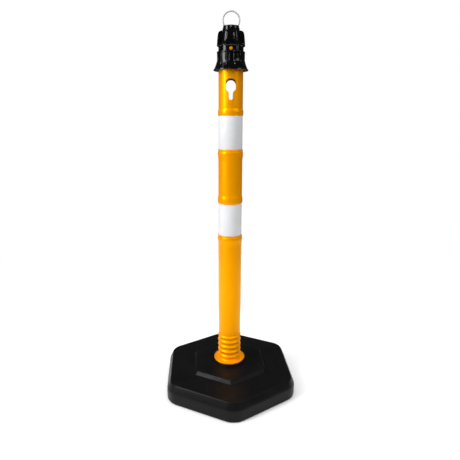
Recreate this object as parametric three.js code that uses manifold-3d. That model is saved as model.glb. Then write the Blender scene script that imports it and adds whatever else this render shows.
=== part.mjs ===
// A delineator post: a flexible yellow post on a heavy hexagonal rubber base, with a black cap
// whose wire ring takes a barrier chain. Millimetres, +Z up, the origin at the middle of the base's
// underside. The keyhole and the cap's front face -Y. The base, which the post can turn in, stands
// with one corner a few degrees to the right of that.
import * as THREE from "three";
import { mergeVertices } from "three/addons/utils/BufferGeometryUtils.js";
import Module from "manifold-3d";

const wasm = await Module();
wasm.setup();

// ---- Driving dimensions ---------------------------------------------------------------------

const ROUND_STEPS = 36; // sides of each turned part
const GAP = 0.3; // between pieces that touch

// Base. A hexagon's size is the distance from its centre to its unrounded corner.
const BASE_SIZE = 220;
const BASE_TURN = 4.4; // degrees about Z
const BASE_CORNER = 54;
const BASE_WALL_TOP = 36;
const BASE_FOOT_CHAMFER = 3;
const SHOULDER_SIZE = 208;
const SHOULDER_CORNER = 42;
const SHOULDER_Z = 58;
const PLATEAU_FOOT_SIZE = 128;
const PLATEAU_TOP_SIZE = 119;
const PLATEAU_CORNER = 12;
const PLATEAU_Z = 70;
const BOSS_RADIUS = 46;
const BOSS_Z = 76.5;
const DRAIN_RADIUS = 22;
const POCKET_DEPTH = 44;
const INNER_POCKETS = { count: 6, from: 54, to: 98, rib: 12 };
const OUTER_POCKETS = { count: 12, from: 112, to: 176, rib: 12 };

// Socket liner and the spigot that it takes.
const LINER_RADIUS = 34;
const LINER_FLOOR_Z = 12;
const LINER_FLOOR = 3;
const SPIGOT_TIP_RADIUS = 27.5;
const SPIGOT_TOP_RADIUS = 30;
const SPIGOT_TIP_Z = 20;
const SPIGOT_FIT = 0.4;
const FLANGE_RADIUS = 47;
const FLANGE_Z = BOSS_Z + GAP;
const FLANGE_RIM = 6.5;

// Bellows neck.
const NECK_BOTTOM = 86;
const NECK_TOP = 168;
const NECK_BORE = 27.5;
const RIDGES = 5;
const RIDGE_PITCH = 16;
const FIRST_RIDGE_Z = 94;
const RIDGE_RADIUS = 35;
const VALLEY_RADIUS = 31;

// Tube, which narrows a little upwards and, in a short step, just above the bellows. Each bead is
// [lower end, widest height, upper end, radius of the tube beside it].
const TUBE_FOOT_RADIUS = 32.6;
const TUBE_STEP = [228, 250];
const TUBE_LOW_RADIUS = 33.6;
const TUBE_MIDDLE_RADIUS = 33.4;
const TUBE_TOP_RADIUS = 32.9;
const TUBE_BORE = 29.6;
const BEAD_RISE = 1.9;
const BEADS = [
  [450, 468, 479, TUBE_LOW_RADIUS],
  [571, 585, 598, TUBE_MIDDLE_RADIUS],
  [692, 711, 723, TUBE_MIDDLE_RADIUS],
  [813, 823, 835, TUBE_TOP_RADIUS],
];
const BAND_SEAT_RADIUS = 32.3;
const BAND_THICKNESS = 0.8;
const SHOULDER_START = 944;
const TOP_NECK_START = 954;
const TOP_NECK_RADIUS = 28.8;
const TUBE_TOP = 991.5;
const WALL = 3;

// Keyhole through the tube's front and back.
const KEYHOLE_TOP = 908;
const KEYHOLE_HALF_WIDTH = 13.9;
const KEYHOLE_WIDE_BOTTOM = 880;
const KEYHOLE_SLOT_TOP = 872;
const KEYHOLE_SLOT_HALF_WIDTH = 5.4;
const KEYHOLE_BOTTOM = 853;

// Cap.
const SLEEVE_BOTTOM = 929;
const SLEEVE_TOP = 976;
const SLEEVE_BORE = 34.8;
const SLEEVE_MOUTH = 33.6;
const SLEEVE_SKIRT = [
  // [radius, height above the sleeve's bottom]
  [46.3, 0],
  [46.8, 1.6],
  [46.2, 3.4],
  [43.6, 6.5],
  [41.6, 11.5],
  [39.2, 17.5],
  [37.4, 22],
  [37.4, 45.5],
  [36.4, 47],
];
const SLEEVE_RIBS = 12;
const RIB_WIDTH = 5;
const RIB_RADIUS = 38.2;
const RIB_BOTTOM = 16;
const HEAD_BOTTOM = 966;
const HEAD_BORE = 29.6;
const HEAD_CEILING = 993.5;
const SNAP_LIP = 1.1;
const WAIST_RADIUS = 33.4;
const LIP_Z = 989.5;
const HEAD_CONE = [
  // [radius, height above the lip]
  [33.4, -1.5],
  [35.3, 0],
  [32.8, 5],
  [30, 10],
  [27.6, 20],
  [26, 30],
  [25, 35],
  [22.4, 38.3],
  [22.6, 45],
  [22.4, 48.2],
  [21.8, 49],
];
const HEAD_TOP = LIP_Z + 49;
const LUG_FACE = [
  // [radius, height above the lip]
  [36.8, -1],
  [36.8, 1],
  [34.4, 7],
  [31.8, 13],
  [29.4, 22],
  [27.2, 31],
  [24.2, 36],
];
const FIN_FACE = [
  // [radius, height above the lip]
  [37.4, 0],
  [36.6, 14],
  [35.2, 26],
  [32.2, 34],
  [26, 37.5],
];
const CUP_RADIUS = 19;
const CUP_FLOOR = 1026;
const CUP_SLOT_HALF_WIDTH = 8.5;
const CUP_SLOT_FLOOR = 1033;
const LUG_HALF_WIDTH = 15.5;
const LUG_TAPER = 3;
const LUG_ARCH = 18; // rise of the control point of the lug's arched lower edge
const FIN_HALF_WIDTH = 14;

// Lock buttons and their spring clip.
const BUTTON_Z = 981;
const BUTTON_RADIUS = 5.3;
const BUTTON_FACE = 32.2;
const BUTTON_FLANGE_RADIUS = 6.6;
const BUTTON_FLANGE_FACE = 24.6;
const BUTTON_BACK = 23.3;
const BUTTON_HOLE = 5.7;
const CLIP_HALF_WIDTH = 5;
const CLIP_THICKNESS = 1;
const CLIP_BEND_Z = 932;

// Ring and its cross pin.
const RING_RADIUS = 21.8;
const RING_WIRE = 2.4;
const RING_Z = 1053;
const PIN_RADIUS = 1.5;
const PIN_Z = RING_Z - RING_RADIUS + RING_WIRE + GAP + PIN_RADIUS;
const PIN_HALF_LENGTH = 21;

// ---- Shape helpers --------------------------------------------------------------------------

/** A closed geometry as a solid, with shared corners merged and collapsed triangles dropped. */
function solidOf(geometry) {
  const bare = geometry.clone();
  bare.deleteAttribute("normal");
  bare.deleteAttribute("uv");
  const merged = mergeVertices(bare, 1e-4);
  const corners = merged.index.array;
  const kept = [];
  for (let i = 0; i < corners.length; i += 3) {
    const [a, b, c] = corners.slice(i, i + 3);
    if (a !== b && b !== c && c !== a) kept.push(a, b, c);
  }
  return new wasm.Manifold(
    new wasm.Mesh({
      numProp: 3,
      vertProperties: merged.attributes.position.array,
      triVerts: new Uint32Array(kept),
    }),
  );
}

/** A solid as a geometry that a mesh can hold. */
function geometryOf(solid) {
  const mesh = solid.getMesh();
  const geometry = new THREE.BufferGeometry();
  geometry.setAttribute("position", new THREE.BufferAttribute(mesh.vertProperties, 3));
  geometry.setIndex(new THREE.BufferAttribute(mesh.triVerts, 1));
  geometry.computeVertexNormals();
  return geometry;
}

/** A solid of revolution about Z. The outline's [radius, height] points run anticlockwise. */
function turned(outline, steps = ROUND_STEPS) {
  const points = outline.map(([radius, height]) => new THREE.Vector2(radius, height));
  const closed = outline[0][0] > 0 || outline.at(-1)[0] > 0;
  if (closed) points.push(points[0].clone());
  const geometry = new THREE.LatheGeometry(points, steps);
  geometry.rotateX(Math.PI / 2);
  return solidOf(geometry);
}

/** The points of a profile, raised by a height. */
function raised(profile, height) {
  return profile.map(([radius, above]) => [radius, height + above]);
}

/** A solid of revolution from the axis out to a profile. */
function solidUnder(profile) {
  return turned([[0, profile[0][1]], ...profile, [0, profile.at(-1)[1]]]);
}

/** A shape drawn in X and Z, pushed along Y from one place to another. */
function pushedAlongY(shape, fromY, toY, curveSegments = 8) {
  const settings = { depth: toY - fromY, bevelEnabled: false, curveSegments };
  const geometry = new THREE.ExtrudeGeometry(shape, settings);
  geometry.rotateX(Math.PI / 2);
  geometry.translate(0, toY, 0);
  return solidOf(geometry);
}

function block([x0, y0, z0], [x1, y1, z1]) {
  const geometry = new THREE.BoxGeometry(x1 - x0, y1 - y0, z1 - z0);
  geometry.translate((x0 + x1) / 2, (y0 + y1) / 2, (z0 + z1) / 2);
  return solidOf(geometry);
}

/** A round bar along Y, between two places, at a height. */
function barAlongY(radius, fromY, toY, height, steps = 16) {
  const geometry = new THREE.CylinderGeometry(radius, radius, toY - fromY, steps);
  geometry.translate(0, (fromY + toY) / 2, height);
  return solidOf(geometry);
}

/** The outline of a hexagon with rounded corners, one corner along -Y. */
function roundedHexagon(size, corner, height) {
  const arcSteps = 7;
  const middle = size - corner / Math.cos(Math.PI / 6);
  const points = [];
  for (let side = 0; side < 6; side++) {
    const towards = -Math.PI / 2 + (side * Math.PI) / 3;
    for (let step = 0; step <= arcSteps; step++) {
      const angle = towards + (step / arcSteps - 0.5) * (Math.PI / 3);
      const x = middle * Math.cos(towards) + corner * Math.cos(angle);
      const y = middle * Math.sin(towards) + corner * Math.sin(angle);
      points.push([x, y, height]);
    }
  }
  return points;
}

/** A solid skinned over outlines that lie above each other and have equally many points. */
function skinned(outlines) {
  const count = outlines[0].length;
  const lowest = outlines[0][0][2];
  const highest = outlines.at(-1)[0][2];
  const positions = [...outlines.flat(), [0, 0, lowest], [0, 0, highest]];
  const floor = positions.length - 2;
  const roof = positions.length - 1;
  const triangles = [];
  for (let i = 0; i < count; i++) {
    const next = (i + 1) % count;
    triangles.push(floor, next, i);
    const last = (outlines.length - 1) * count;
    triangles.push(roof, last + i, last + next);
    for (let level = 0; level < outlines.length - 1; level++) {
      const below = level * count;
      const above = below + count;
      triangles.push(below + i, below + next, above + next);
      triangles.push(below + i, above + next, above + i);
    }
  }
  const geometry = new THREE.BufferGeometry();
  geometry.setAttribute("position", new THREE.Float32BufferAttribute(positions.flat(), 3));
  geometry.setIndex(triangles);
  return solidOf(geometry);
}

/** A solid turned about Z by an angle in degrees. */
function spun(solid, degrees) {
  return solid.rotate([0, 0, degrees]);
}

// ---- Base -----------------------------------------------------------------------------------

/** One wedge-shaped hollow under the base, between two radial ribs. */
function pocket({ count, from, to, rib }) {
  const arcSteps = 3;
  const half = Math.PI / count;
  const shape = new THREE.Shape();
  const corner = (radius, share) => {
    const angle = share * (half - rib / 2 / radius);
    return [radius * Math.cos(angle), radius * Math.sin(angle)];
  };
  shape.moveTo(...corner(from, -1));
  for (let step = 0; step <= arcSteps; step++) shape.lineTo(...corner(to, (2 * step) / arcSteps - 1));
  for (let step = 0; step < arcSteps; step++) shape.lineTo(...corner(from, 1 - (2 * step) / arcSteps));
  const geometry = new THREE.ExtrudeGeometry(shape, { depth: POCKET_DEPTH + 1, bevelEnabled: false });
  geometry.translate(0, 0, -1);
  return solidOf(geometry);
}

function withPockets(base, ring) {
  const wedge = pocket(ring);
  let cut = base;
  for (let i = 0; i < ring.count; i++) cut = cut.subtract(spun(wedge, (i * 360) / ring.count));
  return cut;
}

function rubberBase() {
  const body = skinned([
    roundedHexagon(BASE_SIZE - BASE_FOOT_CHAMFER, BASE_CORNER, 0),
    roundedHexagon(BASE_SIZE, BASE_CORNER, BASE_FOOT_CHAMFER),
    roundedHexagon(BASE_SIZE, BASE_CORNER, BASE_WALL_TOP),
    roundedHexagon(SHOULDER_SIZE, SHOULDER_CORNER, SHOULDER_Z),
    roundedHexagon(PLATEAU_FOOT_SIZE, PLATEAU_CORNER, SHOULDER_Z + 0.5),
    roundedHexagon(PLATEAU_TOP_SIZE, PLATEAU_CORNER, PLATEAU_Z),
  ]);
  const boss = turned([
    [0, PLATEAU_Z - 5],
    [BOSS_RADIUS, PLATEAU_Z - 5],
    [BOSS_RADIUS, BOSS_Z],
    [0, BOSS_Z],
  ]);
  const socket = turned([
    [0, -1],
    [DRAIN_RADIUS, -1],
    [DRAIN_RADIUS, LINER_FLOOR_Z - GAP],
    [LINER_RADIUS + GAP, LINER_FLOOR_Z - GAP],
    [LINER_RADIUS + GAP, BOSS_Z + 1],
    [0, BOSS_Z + 1],
  ]);
  const drilled = body.add(boss).subtract(socket);
  return withPockets(withPockets(drilled, INNER_POCKETS), OUTER_POCKETS);
}

function baseSocket() {
  const top = BOSS_Z - GAP;
  return turned([
    [DRAIN_RADIUS, LINER_FLOOR_Z],
    [LINER_RADIUS, LINER_FLOOR_Z],
    [LINER_RADIUS, top],
    [SPIGOT_TOP_RADIUS + SPIGOT_FIT, top],
    [SPIGOT_TIP_RADIUS + SPIGOT_FIT, SPIGOT_TIP_Z],
    [SPIGOT_TIP_RADIUS + SPIGOT_FIT, LINER_FLOOR_Z + LINER_FLOOR],
    [DRAIN_RADIUS, LINER_FLOOR_Z + LINER_FLOOR],
  ]);
}

// ---- Post -----------------------------------------------------------------------------------

function footFlange() {
  const spigotBore = SPIGOT_TIP_RADIUS - WALL;
  const collarTop = NECK_BOTTOM - GAP;
  return turned([
    [spigotBore, SPIGOT_TIP_Z],
    [SPIGOT_TIP_RADIUS, SPIGOT_TIP_Z],
    [SPIGOT_TOP_RADIUS, FLANGE_Z],
    [FLANGE_RADIUS, FLANGE_Z],
    [FLANGE_RADIUS + 0.4, FLANGE_Z + FLANGE_RIM / 2],
    [FLANGE_RADIUS - 1.5, FLANGE_Z + FLANGE_RIM],
    [FLANGE_RADIUS - 4, FLANGE_Z + FLANGE_RIM - 1],
    [VALLEY_RADIUS + 4, FLANGE_Z + FLANGE_RIM - 0.6],
    [VALLEY_RADIUS + 1, FLANGE_Z + FLANGE_RIM + 1.6],
    [VALLEY_RADIUS + 1, collarTop],
    [NECK_BORE, collarTop],
  ]);
}

function neckBellows() {
  const outer = [[VALLEY_RADIUS, NECK_BOTTOM]];
  for (let i = 0; i < RIDGES; i++) {
    const middle = FIRST_RIDGE_Z + i * RIDGE_PITCH;
    outer.push([RIDGE_RADIUS - 1, middle - 3]);
    outer.push([RIDGE_RADIUS, middle]);
    outer.push([RIDGE_RADIUS - 1, middle + 3]);
    outer.push([VALLEY_RADIUS, middle + RIDGE_PITCH / 2]);
  }
  outer.push([TUBE_FOOT_RADIUS, NECK_TOP]);
  return turned([...outer, [NECK_BORE, NECK_TOP], [NECK_BORE, NECK_BOTTOM]]);
}

function keyholeCutter() {
  const arcHeight = KEYHOLE_TOP - KEYHOLE_HALF_WIDTH;
  const slotArcHeight = KEYHOLE_BOTTOM + KEYHOLE_SLOT_HALF_WIDTH;
  const shape = new THREE.Shape();
  shape.absarc(0, arcHeight, KEYHOLE_HALF_WIDTH, 0, Math.PI, false);
  shape.lineTo(-KEYHOLE_HALF_WIDTH, KEYHOLE_WIDE_BOTTOM);
  shape.lineTo(-KEYHOLE_SLOT_HALF_WIDTH, KEYHOLE_SLOT_TOP);
  shape.absarc(0, slotArcHeight, KEYHOLE_SLOT_HALF_WIDTH, Math.PI, 2 * Math.PI, false);
  shape.lineTo(KEYHOLE_SLOT_HALF_WIDTH, KEYHOLE_SLOT_TOP);
  shape.lineTo(KEYHOLE_HALF_WIDTH, KEYHOLE_WIDE_BOTTOM);
  return pushedAlongY(shape, -TUBE_LOW_RADIUS - 2, TUBE_LOW_RADIUS + 2);
}

/** A bead's outline, which runs straight into the band's seat on the side that has one. */
function beadOutline([low, middle, high, radius], seatBelow, seatAbove) {
  return [
    [seatBelow ? BAND_SEAT_RADIUS : radius, low],
    ...(seatBelow ? [[radius, low]] : []),
    [radius + 0.7 * BEAD_RISE, (low + middle) / 2],
    [radius + BEAD_RISE, middle],
    [radius + 0.7 * BEAD_RISE, (middle + high) / 2],
    ...(seatAbove ? [[radius, high]] : []),
    [seatAbove ? BAND_SEAT_RADIUS : radius, high],
  ];
}

function postTube() {
  const bottom = NECK_TOP + GAP;
  const outer = [
    [TUBE_FOOT_RADIUS, bottom],
    [TUBE_FOOT_RADIUS, TUBE_STEP[0]],
    [TUBE_LOW_RADIUS, TUBE_STEP[1]],
  ];
  BEADS.forEach((bead, i) => outer.push(...beadOutline(bead, i % 2 === 1, i % 2 === 0)));
  const tube = turned([
    [TUBE_BORE, bottom],
    ...outer,
    [TUBE_TOP_RADIUS, SHOULDER_START],
    [TOP_NECK_RADIUS, TOP_NECK_START],
    [TOP_NECK_RADIUS, TUBE_TOP],
    [0, TUBE_TOP],
    [0, TUBE_TOP - WALL],
    [TOP_NECK_RADIUS - WALL, TUBE_TOP - WALL],
    [TOP_NECK_RADIUS - WALL, TOP_NECK_START],
    [TUBE_BORE, SHOULDER_START],
  ]);
  const buttonHoles = barAlongY(BUTTON_HOLE, -TUBE_TOP_RADIUS, TUBE_TOP_RADIUS, BUTTON_Z);
  return tube.subtract(keyholeCutter()).subtract(buttonHoles);
}

/** The sleeve of reflective film in the seat between two beads. */
function reflectiveBand(lowerBead, upperBead) {
  const inside = BAND_SEAT_RADIUS + GAP;
  const outside = inside + BAND_THICKNESS;
  const low = lowerBead[2] + GAP;
  const high = upperBead[0] - GAP;
  return turned([
    [inside, low],
    [outside, low],
    [outside, high],
    [inside, high],
  ]);
}

// ---- Cap ------------------------------------------------------------------------------------

function sleeveRib(index) {
  const half = RIB_WIDTH / 2;
  const rib = block([SLEEVE_BORE + 1, -half, SLEEVE_BOTTOM + RIB_BOTTOM], [RIB_RADIUS, half, SLEEVE_TOP - 2]);
  return spun(rib, ((index + 0.5) * 360) / SLEEVE_RIBS);
}

function capSleeve() {
  let sleeve = turned([
    [SLEEVE_BORE, SLEEVE_BOTTOM],
    ...raised(SLEEVE_SKIRT, SLEEVE_BOTTOM),
    [SLEEVE_MOUTH, SLEEVE_TOP],
    [SLEEVE_MOUTH, SLEEVE_TOP - WALL],
    [SLEEVE_BORE, SLEEVE_TOP - WALL - 1],
  ]);
  for (let i = 0; i < SLEEVE_RIBS; i++) sleeve = sleeve.add(sleeveRib(i));
  return sleeve;
}

/** The head's cone, with its flared lip over the waist and the snap collar under it. */
function headCore() {
  const collar = SLEEVE_MOUTH - GAP;
  return turned([
    [HEAD_BORE, HEAD_BOTTOM],
    [collar, HEAD_BOTTOM],
    [collar + SNAP_LIP, HEAD_BOTTOM + 3],
    [collar, SLEEVE_TOP - WALL - 1.4],
    [collar, SLEEVE_TOP + GAP],
    [WAIST_RADIUS, SLEEVE_TOP + GAP],
    ...raised(HEAD_CONE, LIP_Z),
    [CUP_RADIUS, HEAD_TOP],
    [CUP_RADIUS, CUP_FLOOR],
    [0, CUP_FLOOR],
    [0, HEAD_CEILING],
    [HEAD_BORE, HEAD_CEILING],
  ]);
}

/** A slanted panel on the head's front, with an arched lower edge. The back has the same one. */
function headLug() {
  const slab = solidUnder(raised(LUG_FACE, LIP_Z));
  const low = LIP_Z - 1;
  const high = LIP_Z + LUG_FACE.at(-1)[1];
  const outline = new THREE.Shape();
  outline.moveTo(-LUG_HALF_WIDTH, low);
  outline.quadraticCurveTo(0, low + LUG_ARCH, LUG_HALF_WIDTH, low);
  outline.lineTo(LUG_HALF_WIDTH - LUG_TAPER, high);
  outline.lineTo(-LUG_HALF_WIDTH + LUG_TAPER, high);
  return slab.intersect(pushedAlongY(outline, -40, -12));
}

/** The square-shouldered block on the head's left side. The right side has the same one. */
function headFin() {
  const round = solidUnder(raised(FIN_FACE, LIP_Z));
  return round.intersect(block([-40, -FIN_HALF_WIDTH, LIP_Z - 1], [-14, FIN_HALF_WIDTH, HEAD_TOP]));
}

function capHead() {
  const bore = turned([
    [0, HEAD_BOTTOM - 1],
    [HEAD_BORE, HEAD_BOTTOM - 1],
    [HEAD_BORE, HEAD_CEILING],
    [0, HEAD_CEILING],
  ]);
  const cup = turned([
    [0, CUP_FLOOR],
    [CUP_RADIUS, CUP_FLOOR],
    [CUP_RADIUS, HEAD_TOP + 1],
    [0, HEAD_TOP + 1],
  ]);
  const slot = block(
    [-30, -CUP_SLOT_HALF_WIDTH, CUP_SLOT_FLOOR],
    [30, CUP_SLOT_HALF_WIDTH, HEAD_TOP + 1],
  );
  const keyways = block(
    [-BUTTON_HOLE, -BUTTON_FACE - GAP, HEAD_BOTTOM - 1],
    [BUTTON_HOLE, BUTTON_FACE + GAP, BUTTON_Z],
  );
  return headCore()
    .add(headLug())
    .add(spun(headLug(), 180))
    .add(headFin())
    .add(spun(headFin(), 180))
    .subtract(bore)
    .subtract(cup)
    .subtract(slot)
    .subtract(keyways)
    .subtract(barAlongY(BUTTON_HOLE, -BUTTON_FACE - 8, BUTTON_FACE + 8, BUTTON_Z))
    .subtract(barAlongY(PIN_RADIUS + GAP, -PIN_HALF_LENGTH - 4, PIN_HALF_LENGTH + 4, PIN_Z, 10));
}

/** The front lock button: a shank with a domed face, and a flange inside the tube's neck. */
function lockButton() {
  const button = turned(
    [
      [0, BUTTON_BACK],
      [BUTTON_FLANGE_RADIUS, BUTTON_BACK],
      [BUTTON_FLANGE_RADIUS, BUTTON_FLANGE_FACE],
      [BUTTON_RADIUS, BUTTON_FLANGE_FACE],
      [BUTTON_RADIUS, BUTTON_FACE - 1],
      [BUTTON_RADIUS - 1.2, BUTTON_FACE - 0.2],
      [0, BUTTON_FACE],
    ],
    16,
  );
  return button.rotate([90, 0, 0]).translate([0, 0, BUTTON_Z]);
}

/** The U-shaped leaf spring that holds both buttons out. */
function springClip() {
  const outside = BUTTON_BACK - GAP;
  const inside = outside - CLIP_THICKNESS;
  const top = TUBE_TOP - WALL - 2;
  const shape = new THREE.Shape();
  shape.moveTo(-outside, top);
  shape.lineTo(-outside, CLIP_BEND_Z);
  shape.absarc(0, CLIP_BEND_Z, outside, Math.PI, 2 * Math.PI, false);
  shape.lineTo(outside, top);
  shape.lineTo(inside, top);
  shape.lineTo(inside, CLIP_BEND_Z);
  shape.absarc(0, CLIP_BEND_Z, inside, 2 * Math.PI, Math.PI, true);
  shape.lineTo(-inside, top);
  return spun(pushedAlongY(shape, -CLIP_HALF_WIDTH, CLIP_HALF_WIDTH, 12), 90);
}

function chainRing() {
  const geometry = new THREE.TorusGeometry(RING_RADIUS, RING_WIRE, 8, 40);
  geometry.rotateX(Math.PI / 2);
  geometry.translate(0, 0, RING_Z);
  return solidOf(geometry);
}

function ringPin() {
  return barAlongY(PIN_RADIUS, -PIN_HALF_LENGTH, PIN_HALF_LENGTH, PIN_Z, 10);
}

// ---- Assembly -------------------------------------------------------------------------------

const rubber = new THREE.MeshStandardMaterial({ color: 0x17181a, roughness: 0.55 });
const yellowPlastic = new THREE.MeshStandardMaterial({ color: 0xf2b400, roughness: 0.35 });
const blackPlastic = new THREE.MeshStandardMaterial({ color: 0x0d0d0f, roughness: 0.2 });
const whiteFilm = new THREE.MeshStandardMaterial({ color: 0xf2f2f6, roughness: 0.4 });
const linerPlastic = new THREE.MeshStandardMaterial({ color: 0x2a2c2f, roughness: 0.5 });
const steel = new THREE.MeshStandardMaterial({ color: 0xc9ccd0, roughness: 0.25, metalness: 1 });

const group = new THREE.Group();

function place(name, solid, material) {
  const mesh = new THREE.Mesh(geometryOf(solid), material);
  mesh.name = name;
  group.add(mesh);
}

place("rubber_base", spun(rubberBase(), BASE_TURN), rubber);
place("base_socket", baseSocket(), linerPlastic);
place("foot_flange", footFlange(), yellowPlastic);
place("neck_bellows", neckBellows(), yellowPlastic);
place("post_tube", postTube(), yellowPlastic);
place("reflective_band_lower", reflectiveBand(BEADS[0], BEADS[1]), whiteFilm);
place("reflective_band_upper", reflectiveBand(BEADS[2], BEADS[3]), whiteFilm);
place("cap_sleeve", capSleeve(), blackPlastic);
place("cap_head", capHead(), blackPlastic);
place("lock_button_front", lockButton(), yellowPlastic);
place("lock_button_back", spun(lockButton(), 180), yellowPlastic);
place("spring_clip", springClip(), steel);
place("ring_pin", ringPin(), steel);
place("chain_ring", chainRing(), steel);

export default group;
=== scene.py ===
import math

import bmesh
import bpy
import numpy as np
from mathutils import Euler, Matrix, Vector


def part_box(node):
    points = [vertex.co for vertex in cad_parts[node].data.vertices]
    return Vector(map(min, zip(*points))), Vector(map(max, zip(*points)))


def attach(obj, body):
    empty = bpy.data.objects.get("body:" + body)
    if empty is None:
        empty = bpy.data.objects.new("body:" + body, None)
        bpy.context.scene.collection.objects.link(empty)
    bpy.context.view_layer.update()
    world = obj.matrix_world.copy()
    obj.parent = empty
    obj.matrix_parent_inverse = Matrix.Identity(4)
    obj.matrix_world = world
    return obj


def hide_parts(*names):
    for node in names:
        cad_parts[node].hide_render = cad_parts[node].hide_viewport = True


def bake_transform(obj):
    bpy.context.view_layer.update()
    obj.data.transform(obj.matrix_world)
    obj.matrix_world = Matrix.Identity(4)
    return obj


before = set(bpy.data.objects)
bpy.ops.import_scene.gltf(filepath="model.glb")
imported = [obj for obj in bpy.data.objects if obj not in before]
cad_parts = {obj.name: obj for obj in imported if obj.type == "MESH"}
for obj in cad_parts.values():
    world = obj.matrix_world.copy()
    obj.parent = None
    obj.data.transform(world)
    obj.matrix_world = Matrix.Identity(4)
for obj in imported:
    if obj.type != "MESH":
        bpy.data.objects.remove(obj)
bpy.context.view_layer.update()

MM = 0.001

# ---- Measures taken from the frame, in millimetres ---------------------------------------------


def span(node):
    """The lowest and highest corner of a CAD node, in millimetres."""
    low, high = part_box(node)
    return low / MM, high / MM


base_high = span("rubber_base")[1]
foot_low, foot_high = span("foot_flange")
neck_low, neck_high = span("neck_bellows")
tube_low, tube_high = span("post_tube")
lower_band_low, lower_band_high = span("reflective_band_lower")
upper_band_low, upper_band_high = span("reflective_band_upper")
sleeve_low, sleeve_high = span("cap_sleeve")
head_low, head_high = span("cap_head")
button_low, button_high = span("lock_button_front")
clip_low, clip_high = span("spring_clip")
pin_low, pin_high = span("ring_pin")
ring_high = span("chain_ring")[1]
button_height = (button_low.z + button_high.z) / 2
pin_height = (pin_low.z + pin_high.z) / 2

GAP = 0.3  # between pieces that touch
BUTTON_HOLE = 5.7

# How far out along Y a cutter runs, clear of what it cuts.
BEYOND_TUBE = 38
BEYOND_NECK = 34
BEYOND_HEAD = 41
BEYOND_COLLAR = 30

# ---- Mesh helpers ------------------------------------------------------------------------------

SAME_PLACE = 1e-6  # metres between points that are one point
NO_LENGTH = 1e-7  # metres, the length of an edge that is dropped


def finish_mesh(mesh, sharp_degrees):
    """Closes the surface, turns its faces outwards and shades it smooth between its sharp edges."""
    work = bmesh.new()
    work.from_mesh(mesh)
    bmesh.ops.remove_doubles(work, verts=work.verts, dist=SAME_PLACE)
    bmesh.ops.dissolve_degenerate(work, edges=work.edges, dist=NO_LENGTH)
    bmesh.ops.recalc_face_normals(work, faces=work.faces)
    work.to_mesh(mesh)
    work.free()
    mesh.shade_smooth()
    mesh.set_sharp_from_angle(angle=math.radians(sharp_degrees))


def placed(name, mesh):
    """A mesh as an object in the scene."""
    piece = bpy.data.objects.new(name, mesh)
    bpy.context.scene.collection.objects.link(piece)
    return piece


def joined(name, pieces):
    """Several separate solids as one object."""
    work = bmesh.new()
    for piece in pieces:
        work.from_mesh(piece.data)
        bpy.data.objects.remove(piece)
    mesh = bpy.data.meshes.new(name)
    work.to_mesh(mesh)
    work.free()
    return placed(name, mesh)


def closed_piece(name, points, faces, sharp_degrees):
    """An object from points in millimetres and faces, finished as a closed surface."""
    mesh = bpy.data.meshes.new(name)
    mesh.from_pydata((points * MM).tolist(), [], faces)
    finish_mesh(mesh, sharp_degrees)
    return placed(name, mesh)


def skinned(name, rows, sharp_degrees=40):
    """A closed surface through rows of points, in millimetres. The last row joins the first."""
    rows = np.asarray(rows, float)
    row_count, column_count, _ = rows.shape
    faces = []
    for row in range(row_count):
        next_row = (row + 1) % row_count
        for column in range(column_count):
            next_column = (column + 1) % column_count
            faces.append(
                (
                    row * column_count + column,
                    row * column_count + next_column,
                    next_row * column_count + next_column,
                    next_row * column_count + column,
                )
            )
    return closed_piece(name, rows.reshape(-1, 3), faces, sharp_degrees)


def outline(corners, steps=4):
    """An outline of (across, up) points from corners (across, up, fillet), each fillet an arc."""
    points = []
    count = len(corners)
    for i, (across, up, fillet) in enumerate(corners):
        corner = Vector((across, up))
        before = Vector(corners[i - 1][:2]) - corner
        after = Vector(corners[(i + 1) % count][:2]) - corner
        if fillet == 0 or min(before.length, after.length) < 1e-6:
            points.append((across, up))
            continue
        start = corner + before.normalized() * min(fillet, 0.45 * before.length)
        end = corner + after.normalized() * min(fillet, 0.45 * after.length)
        for step in range(steps + 1):
            s = step / steps
            point = start * (1 - s) ** 2 + corner * (2 * s * (1 - s)) + end * s**2
            points.append((point.x, point.y))
    return points


def circle_angles(columns):
    """Evenly spaced angles round a circle."""
    return np.linspace(0, 2 * math.pi, columns, endpoint=False)


def turned_rows(points, angles):
    """A row of points round Z for each (radius, height) point."""
    return [
        [(radius * math.cos(a), radius * math.sin(a), up) for a in angles] for radius, up in points
    ]


def turned(name, corners, columns=96, steps=4, sharp_degrees=40):
    """A closed solid of revolution about Z from outline corners (radius, height, fillet)."""
    rows = turned_rows(outline(corners, steps), circle_angles(columns))
    return skinned(name, rows, sharp_degrees)


def cut(piece, cutters, sharp_degrees=40):
    """Takes the cutters out of a piece and removes them."""
    for cutter in cutters:
        modifier = piece.modifiers.new("cut", "BOOLEAN")
        modifier.operation = "DIFFERENCE"
        modifier.solver = "EXACT"
        modifier.object = cutter
        apply_modifiers(piece)
        bpy.data.objects.remove(cutter)
    finish_mesh(piece.data, sharp_degrees)
    return piece


def apply_modifiers(piece):
    """Turns a piece's modified shape into its mesh."""
    bpy.context.view_layer.update()
    depsgraph = bpy.context.evaluated_depsgraph_get()
    mesh = bpy.data.meshes.new_from_object(piece.evaluated_get(depsgraph))
    old = piece.data
    piece.modifiers.clear()
    piece.data = mesh
    bpy.data.meshes.remove(old)
    mesh.name = piece.name


def pushed(name, points, low, high, along="z"):
    """A prism of an outline. Along z the points are (x, y); along y they are (x, z)."""
    if along == "z":
        rows = [[(x, y, level) for x, y in points] for level in (low, high)]
    else:
        rows = [[(x, level, z) for x, z in points] for level in (low, high)]
    rows = np.asarray(rows, float)
    count = len(points)
    faces = [tuple(range(count)), tuple(range(count, 2 * count))]
    for i in range(count):
        j = (i + 1) % count
        faces.append((i, j, count + j, count + i))
    return closed_piece(name, rows.reshape(-1, 3), faces, 40)


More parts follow.
